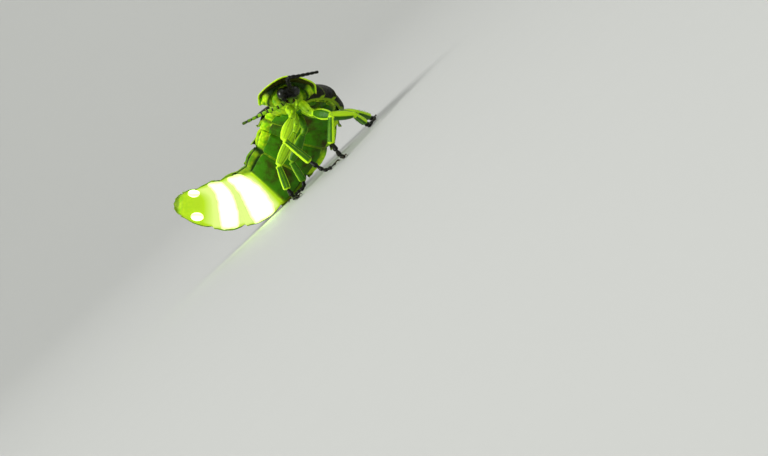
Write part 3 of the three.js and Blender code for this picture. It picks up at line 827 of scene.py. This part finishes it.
# Legs: hip, end of the coxa, knee, ankle, and the path of the foot to its claws
legPlan = {
    "front_right": [(0.351, -0.102, 5.507), (0.22, -1.15, 4.88), (-1.57, -2.1, 4.03), (-1.22, -2.0, 1.45),
                    (-0.95, -2.25, 0.5), (-0.55, -2.45, 0.22), (0.1, -2.6, 0.2)],
    "front_left": [(1.227, 0.035, 5.129), (1.25, -0.9, 4.12), (2.24, -2.2, 2.95), (0.78, -2.5, 1.4),
                   (0.72, -2.95, 0.5), (0.8, -3.45, 0.22), (0.88, -4.15, 0.2)],
    "mid_right": [(0.267, 1.712, 5.025), (-0.1, 1.5, 4.0), (-3.2, 0.9, 2.8), (-3.95, 0.6, 0.98),
                  (-3.97, 0.3, 0.34), (-3.87, -0.15, 0.22), (-3.6, -0.95, 0.2)],
    "mid_left": [(1.043, 1.143, 4.744), (1.5, 1.4, 3.5), (3.6, 2.1, 1.65), (3.85, 3.7, 0.6),
                 (3.95, 4.2, 0.24), (4.1, 4.6, 0.22), (4.4, 5.3, 0.2)],
    "hind_right": [(0.427, 2.744, 4.781), (0.2, 2.6, 3.4), (-2.3, 2.7, 2.3), (-2.65, 3.1, 0.55),
                   (-2.95, 3.25, 0.23), (-3.4, 3.4, 0.22), (-4.2, 3.6, 0.2)],
    "hind_left": [(1.566, 2.359, 4.235), (2.05, 2.75, 2.85), (3.9, 4.4, 1.6), (4.45, 6.3, 0.55),
                  (4.6, 6.85, 0.23), (4.7, 7.3, 0.22), (4.8, 8.1, 0.2)],
}
legShape = {
    "coxa": [(0, 0.3), (0.2, 0.37), (0.55, 0.37), (0.85, 0.29), (1, 0.2)],
    "coxaFlat": 0.95,
    "trochanter": [(0, 0.16), (0.4, 0.25), (0.75, 0.24), (1, 0.16)],
    "trochanterFlat": 1.05,
    "trochanterShare": 0.2,
    "femur": [(0, 0.16), (0.12, 0.22), (0.3, 0.31), (0.5, 0.36), (0.72, 0.33), (0.9, 0.25), (1, 0.19)],
    "femurFlat": 1.2,
    "tibia": [(0, 0.14), (0.06, 0.21), (0.14, 0.18), (0.4, 0.23), (0.75, 0.25), (0.92, 0.25), (0.97, 0.21),
              (1, 0.1)],
    "tibiaFlat": 1.2,
    "overlap": 0.05,
    "ridge": 0.04,
    "ridgeTurn": 0.55,
    "voxel": 0.032,
    # the femora of these legs take painted light shining through them
    "paleFemur": {"front_right": 0.75, "mid_right": 0.5},  # share that the light shines through
    "shade": {"hind_right": 0.45},  # this leg stands in the shadow of the others
    "bristles": 54,
    "bristleLength": 0.14,
    "bristleRadii": (0.016, 0.003),
}


# Short stiff bristles that lean towards the foot, one four-sided cone copied round the shin
def addBristles(a, b, side, shape):
    thick, fine = shape["bristleRadii"]
    bpy.ops.mesh.primitive_cone_add(vertices=4, radius1=thick, radius2=fine, depth=1.0)
    pattern = bpy.context.object
    cone = vertexArray(pattern) + np.array((0, 0, 0.5))
    setAttributes(pattern, edge=0)
    along = unit(b - a)
    length = np.linalg.norm(b - a)
    across = np.cross(along, side)
    flat = shape["tibiaFlat"]
    shares, sizes = np.asarray(shape["tibia"], float).T
    bristles = [pattern]
    while len(bristles) < shape["bristles"]:
        bristle = pattern.copy()
        bristle.data = pattern.data.copy()
        bpy.context.collection.objects.link(bristle)
        bristles.append(bristle)
    for number, bristle in enumerate(bristles):
        # steps that never fall into line spread them evenly
        rise = 0.1 + 0.86 * ((number * 0.7549) % 1)
        turn = 2 * math.pi * ((number * 0.5698) % 1)
        outward = side * math.cos(turn) + across * math.sin(turn)
        radius = np.interp(rise, shares, sizes) * math.hypot(math.cos(turn), flat * math.sin(turn))
        root = a + along * rise * length + outward * radius * 0.9
        lean = unit(outward * 0.75 + along * 0.66)
        broad = unit(np.cross(lean, along))
        size = shape["bristleLength"] * (0.75 + 0.5 * ((number * 0.37) % 1))
        moveVertices(bristle, root + cone * (1, 1, size) @ np.array((broad, np.cross(lean, broad), lean)))
    return bristles


# Raises a keel along each flat side of a leg piece, a little off its middle
def addRidges(piece, a, b, side, shape):
    points = vertexArray(piece)
    along = unit(b - a)
    rise = (points - a) @ along / np.linalg.norm(b - a)
    away = points - a - ((points - a) @ along)[:, None] * along
    distance = np.maximum(np.linalg.norm(away, axis=1), 1e-6)
    outward = away / distance[:, None]
    turn = np.abs(np.arctan2(outward @ np.cross(along, side), outward @ side))
    crest = sum(bell(turn, at, 0.16) for at in (shape["ridgeTurn"], math.pi - shape["ridgeTurn"]))
    middle = ramp(0.0, 0.15, rise) * ramp(1.0, 0.85, rise)
    moveVertices(piece, points + outward * (shape["ridge"] * crest * middle)[:, None])


def makeLeg(name, leg, shape):
    hip, coxa, knee, ankle = (np.array(p) for p in leg[:4])
    side = unit(np.cross(knee - coxa, ankle - knee))
    thigh = knee - coxa
    trochanterEnd = coxa + thigh * shape["trochanterShare"]
    overlap = shape["overlap"]
    stretches = {
        "coxa": (hip, coxa),
        "trochanter": (coxa - thigh * overlap, trochanterEnd),
        "femur": (trochanterEnd - thigh * overlap, knee + unit(thigh) * overlap),
        "tibia": (knee, ankle),
    }
    pieces = [addTube(part, ends, shape[part], sides=32, rows=48, side=side, flat=shape[part + "Flat"])
              for part, ends in stretches.items()]
    for piece, ends in zip(pieces[2:], list(stretches.values())[2:]):
        addRidges(piece, *ends, side, shape)
    whole = joinPieces(pieces, "leg_" + name)
    fuse(whole, shape["voxel"], smoothing=2)
    # every vertex takes its painted rim light from the stretch whose line is nearest
    points = vertexArray(whole)
    edge = np.zeros(len(points))
    nearest = np.full(len(points), np.inf)
    for part, (a, b) in stretches.items():
        along = unit(b - a)
        length = np.linalg.norm(b - a)
        rise = np.clip((points - a) @ along, 0, length)
        away = points - a - rise[:, None] * along
        distance = np.linalg.norm(away, axis=1)
        rise = rise / length
        inPlane = np.abs(away @ np.cross(along, side)) / np.maximum(distance, 1e-6)
        if part in ("coxa", "trochanter"):
            # the hip joints get painted light all over, more on their thin sides, with painted shade
            # towards their far end
            here = 0.4 + 0.45 * ramp(0.4, 0.9, inPlane) - 0.3 * ramp(0.85, 1.0, rise)
        else:
            # painted rim light at both ends and along the thin edges
            tip = 0.8 * np.maximum(ramp(0.12, 0.04, rise), ramp(0.9, 0.97, rise))
            here = np.maximum(ramp(0.68, 0.95, inPlane), tip)
        if part == "femur":
            here = np.maximum(here, shape["paleFemur"].get(name, 0) * (0.85 + 0.15 * np.sin(inPlane * 16)))
        if part == "tibia":
            here = np.maximum(here, 0.45 * bell(inPlane, 0.12, 0.07))
        edge = np.where(distance < nearest, here * shape["shade"].get(name, 1.0), edge)
        nearest = np.minimum(nearest, distance)
    setAttributes(whole, edge=edge)
    joinPieces([whole] + addBristles(knee, ankle, side, shape), "leg_" + name)
    finishPiece(whole, "leg", [part + "_" + name for part in ("coxa", "femur", "tibia")])


# Feet: five heart-shaped joints, each slipped over the next, then two hooked claws
footPlan = {
    "inShin": 0.14,
    "lower": 0.04,  # how far its line lies below the plan's, down to the lowest
    "lowest": 0.16,
    "joints": [0, 0.27, 0.47, 0.63, 0.78, 1.0],  # where each ends, along the foot
    "wide": 0.15,
    "narrowing": 0.06,
    "flat": 1.25,
    "pad": [(0, 0.5), (0.3, 0.8), (0.75, 1.15), (0.95, 1), (1, 0.6)],  # outlines, as shares of the width
    "lastPad": [(0, 0.45), (0.5, 0.55), (0.9, 0.85), (1, 0.6)],
    "claw": 0.4,
    "clawRadius": 0.045,
    "clawOutline": [(0, 1), (0.25, 1.15), (0.7, 0.7), (1, 0.15)],
    "voxel": 0.028,
}


# An outline in shares of a radius, made one in millimetres
def scaled(outline, radius):
    return [(share, size * radius) for share, size in outline]


def makeFoot(name, leg, plan):
    ankle = np.array(leg[3])
    inShin = ankle + unit(np.array(leg[2]) - ankle) * plan["inShin"]
    path = curvePath([inShin] + leg[4:], 80)
    path[:, 2] = np.maximum(path[:, 2] - plan["lower"], plan["lowest"])
    last = len(path) - 1
    ends = [int(share * last) for share in plan["joints"]]
    pads = []
    for number, (start, end) in enumerate(zip(ends, ends[1:])):
        wide = plan["wide"] * (1 - plan["narrowing"] * number)
        outline = scaled(plan["lastPad" if end == last else "pad"], wide)
        pads.append(addTube("pad", path[start:end + 4], outline, sides=18, rows=16, flat=plan["flat"]))
    whole = joinPieces(pads, "foot_skin_" + name)
    fuse(whole, plan["voxel"], smoothing=1)
    setAttributes(whole, joint=0)
    finishPiece(whole, "dark", ["foot_" + name])
    tip = path[-1]
    ahead = unit(path[-1] - path[-4])
    aside = unit(np.cross((0, 0, 1), ahead))
    claws = []
    for turn in (-1, 1):
        root = tip - ahead * 0.08 + aside * turn * 0.05
        middle = tip + ahead * plan["claw"] * 0.55 + aside * turn * 0.17 + np.array((0, 0, 0.06))
        end = tip + ahead * plan["claw"] + aside * turn * 0.16
        end[2] = 0.03
        outline = scaled(plan["clawOutline"], plan["clawRadius"])
        claws.append(addTube("claw", curvePath([root, middle, end], 30), outline, sides=12, rows=16))
    finishPiece(joinPieces(claws, "claws_" + name), "horn")


for legName, legPoints in legPlan.items():
    makeLeg(legName, legPoints, legShape)
    makeFoot(legName, legPoints, footPlan)
print("legs made")


# Head: a small black capsule deep under the hood, with eyes and jaws, all placed from its middle
headPlan = {
    "middle": (0.02, 2.0, 0.22),
    "single": [
        ((0, 0, 0), (0.69, 0.63, 0.54)),  # capsule
        ((0, 0.22, -0.5), (0.4, 0.4, 0.42)),  # face
        ((0, 0.52, -0.66), (0.24, 0.12, 0.2)),  # lip
    ],
    "paired": [  # one on each side
        ((0.27, 0.47, -0.07), (0.2, 0.14, 0.2)),  # feeler socket
        ((0.34, 0.2, -0.3), (0.26, 0.3, 0.24)),  # cheek
    ],
    "voxel": 0.03,
    "pale": (-0.38, -0.75, 0.55),  # from this height down to that one the face turns pale, by this much
    "eye": ((0.5, 0.22, 0.02), (0.37, 0.37, 0.43)),
    "jaw": [(0.22, 0.45, -0.6), (0.27, 0.72, -0.78), (0.02, 0.8, -0.92)],
    "jawRadii": [(0, 0.09), (0.4, 0.08), (0.8, 0.045), (1, 0.012)],
}
sides = {"right": -1, "left": 1}


def makeHead(plan):
    def place(spot, side=0):
        left, ahead, up = plan["middle"]
        return left + side * spot[0], ahead + spot[1], up + spot[2]

    def addRounded(name, spot, half, side=0, segments=48, rings=32):
        piece, x, y, z = addBall(name, segments, rings)
        left, ahead, up = place(spot, side)
        moveVertices(piece, hoodPoints(left + x * half[0], ahead + y * half[1], up + z * half[2]))
        return piece

    parts = [addRounded("lump", *lump) for lump in plan["single"]]
    parts += [addRounded("lump", *lump, side) for side in sides.values() for lump in plan["paired"]]
    head = joinPieces(parts, "headCapsule")
    fuse(head, plan["voxel"], smoothing=3)
    height = (vertexArray(head) - hoodPoints(*plan["middle"])) @ thoraxUp
    start, end, pale = plan["pale"]
    setAttributes(head, joint=pale * ramp(start, end, height))
    finishPiece(head, "dark", ["head"])
    for word, side in sides.items():
        eye = addRounded("eyeDome_" + word, *plan["eye"], side, 64, 48)
        finishPiece(eye, "eye", ["eye_" + word])
        bow = curvePath([hoodPoints(*place(spot, side)) for spot in plan["jaw"]], 30)
        jaw = addTube("jaw_" + word, bow, plan["jawRadii"], sides=16, rows=20)
        finishPiece(jaw, "horn")


makeHead(headPlan)
print("head made")


# Feelers: eleven barrel joints strung on a curve, stout at the root and fine at the tip
feelerPlan = {
    "right": [hoodPoints(-0.26, 2.5, 0.15), (0.1, -2.55, 6.0), (-1.3, -2.9, 6.45), (-3.0, -2.7, 6.95)],
    "left": [hoodPoints(0.3, 2.5, 0.15), (1.72, -2.72, 7.08), (2.5, -2.75, 6.68), (3.75, -2.4, 5.93)],
    "joints": 11,
    "root": 0.2,
    "tip": 0.11,
    "waist": 0.5,
    # painted light on the right feeler, which the lantern lights; the left one keeps its own black
    "pale": {"right": 0.9, "left": 0.0},
}
palpPlan = {
    "right": [hoodPoints(-0.23, 2.35, -0.45), hoodPoints(-0.38, 2.75, -0.7), hoodPoints(-0.24, 2.6, -1.12)],
    "left": [hoodPoints(0.27, 2.35, -0.45), hoodPoints(0.42, 2.75, -0.7), hoodPoints(0.28, 2.6, -1.12)],
    "joints": 3,
    "root": 0.14,
    "tip": 0.09,
    "waist": 0.6,
    "pale": {"right": 1.0, "left": 1.0},
}
beadOutline = [(0.25, 0.9), (0.7, 1), (0.92, 0.85)]  # a joint's radii between its two waists
beadVoxel = 0.026


def makeBeaded(name, word, plan, finish, node):
    count = plan["joints"]
    line = curvePath(plan[word], 200)
    last = len(line) - 1
    beads = []
    for number in range(count):
        start = int(number / count * last)
        end = int((number + 1) / count * last)
        radius = plan["root"] + (plan["tip"] - plan["root"]) * (number + 0.5) / count
        outline = scaled([(0, plan["waist"])] + beadOutline + [(1, plan["waist"])], radius)
        beads.append(addTube("bead", line[start:end + 3], outline, sides=18, rows=18))
    whole = joinPieces(beads, name + "_" + word)
    fuse(whole, beadVoxel, smoothing=1)
    away = vertexArray(whole)[:, None, :] - line[None, ::4, :]
    nearest = np.argmin((away ** 2).sum(axis=2), axis=1) * 4 / last
    step = (nearest * count) % 1
    waistline = np.maximum(ramp(0.3, 0.1, step), ramp(0.82, 0.95, step))
    # painted light along the beads, none at their waists
    pale = plan["pale"][word] * ramp(0.2, 0.32, nearest) * ramp(1.15, 0.5, nearest)
    setAttributes(whole, joint=np.clip(pale * (1 - waistline), 0, 1), edge=np.clip(0.4 + waistline, 0, 1))
    finishPiece(whole, finish, [node + "_" + word])


for word in sides:
    makeBeaded("feeler", word, feelerPlan, "dark", "antenna")
    makeBeaded("mouthPalp", word, palpPlan, "leg", "palp")
print("feelers made")


# Lantern: two swept bands and two spots let into the belly of the last rings
bandPlan = {
    "rightEnd": 1.06,
    "leftEnd": 1.0,
    "middle": 0.49,
    "taper": 0.35,
    "depth": 0.25,
    "dome": 0.05,
    "sink": 0.01,
}
lanternRings = {"lantern_band_6": (8, 0.39), "lantern_band_7": (9, 0.34)}
spotPlan = {
    "lantern_spot_right": {"angle": -140 * degree, "s": 10.6, "across": 0.3, "along": 0.48},
    "lantern_spot_left": {"angle": -52 * degree, "s": 10.47, "across": 0.45, "along": 0.5},
}
spotHeight = 0.3


def makeBand(name, ring, bar, plan):
    band, u, v = addGrid("glow_" + name, 96, 32)
    side = np.abs(u)
    angle = -math.pi / 2 - u * np.where(u > 0, plan["rightEnd"], plan["leftEnd"])
    half = bar * (1 - plan["taper"] * side ** 2.5)
    roundEnds = np.sqrt(1 - 0.75 * ramp(0.85, 1.0, side))
    share = plan["middle"] + v * half * roundEnds
    s = ring + share + ringSweep(sweepPlan, ring + plan["middle"], angle)
    inset = np.maximum(side ** 6, np.abs(v) ** 6)
    moveVertices(band, bodyPoints(s, angle, 0.88 + 0.1 * share, plan["dome"] * (1 - inset) - plan["sink"]))
    setAttributes(band, rim=np.maximum(side ** 3, np.abs(v) ** 2.2))
    addModifier(band, "SOLIDIFY", thickness=plan["depth"], offset=1)
    applyModifiers(band)
    cleanMesh(band)
    finishPiece(band, "lantern", [name])


def makeSpot(name, spot):
    axis, centre, edge = (bodyPoints([spot["s"]], spot["angle"], r)[0] for r in (0.0, 0.84, 1.0))
    tail = unit(bodyPoints([spot["s"] + 0.1], spot["angle"], 0.0)[0] - axis)
    normal = unit(edge - axis)
    side = unit(np.cross(tail, normal))
    piece, x, y, z = addBall("glow_" + name, 48, 32)
    points = centre + side * (x * spot["across"])[:, None] + tail * (y * spot["along"])[:, None]
    moveVertices(piece, points + normal * (z * spotHeight)[:, None])
    setAttributes(piece, rim=0.75 * np.hypot(x, y) ** 4)
    finishPiece(piece, "lantern", [name])


for bandName, (bandRing, bandBar) in lanternRings.items():
    makeBand(bandName, bandRing, bandBar, bandPlan)
for spotName, spotSizes in spotPlan.items():
    makeSpot(spotName, spotSizes)
print("lantern made")


# Floor and light, in metres: a plain pale floor that sweeps up far behind on every side, and studio lamps
stagePlan = {"floor": "#bebfbb", "roughness": (0.62, 0.7), "flat": 0.22, "rise": 0.5, "sky": "#f0f2f2",
             "skyPower": 0.6}
lampPlan = [
    ((-0.34, -0.3, 0.3), 0.16, 2.6),
    ((0.42, -0.2, 0.3), 0.35, 0.36),
    ((0.05, 0.42, 0.4), 0.35, 0.6),
]
lampAim = (0.001, 0.001, 0.003)


def makeStage(plan):
    floor, u, v = addGrid("floor", 96, 60)
    turn = u * math.pi
    reach = (v + 1) / 2 * (plan["flat"] + plan["rise"])
    climb = np.clip((reach - plan["flat"]) / plan["rise"], 0, 1) * math.pi / 2
    out = np.minimum(reach, plan["flat"]) + plan["rise"] * np.sin(climb)
    up = plan["rise"] * (1 - np.cos(climb))
    moveVertices(floor, np.column_stack([out * np.cos(turn), out * np.sin(turn), up]))
    cleanMesh(floor, 1e-6, inwards=True)
    bpy.ops.object.shade_smooth()
    material, tree, at, tone = newMaterial("matteFloor", plan)
    speck = addNode(tree, "TexNoise", {"Vector": at, "Scale": 0.3, "Detail": 3.0})
    low, high = plan["roughness"]
    dull = addNode(tree, "MapRange", {"Value": speck, "To Min": low, "To Max": high})
    setSockets(tree, tree.nodes["Principled BSDF"], {"Roughness": dull, "Base Color": tone["floor"]})
    floor.data.materials.append(material)
    world = bpy.data.worlds.new("studio")
    world.use_nodes = True
    bpy.context.scene.world = world
    sky = world.node_tree
    setSockets(sky, sky.nodes["Background"], {"Color": tone["sky"], "Strength": plan["skyPower"]})


def makeLamps(lamps):
    for place, size, power in lamps:
        bpy.ops.object.light_add(type="AREA", location=place)
        lamp = bpy.context.object
        lamp.data.size = size
        lamp.data.energy = power
        lamp.rotation_euler = (Vector(lampAim) - lamp.location).to_track_quat("-Z", "Y").to_euler()


makeStage(stagePlan)
makeLamps(lampPlan)
print("stage lit")
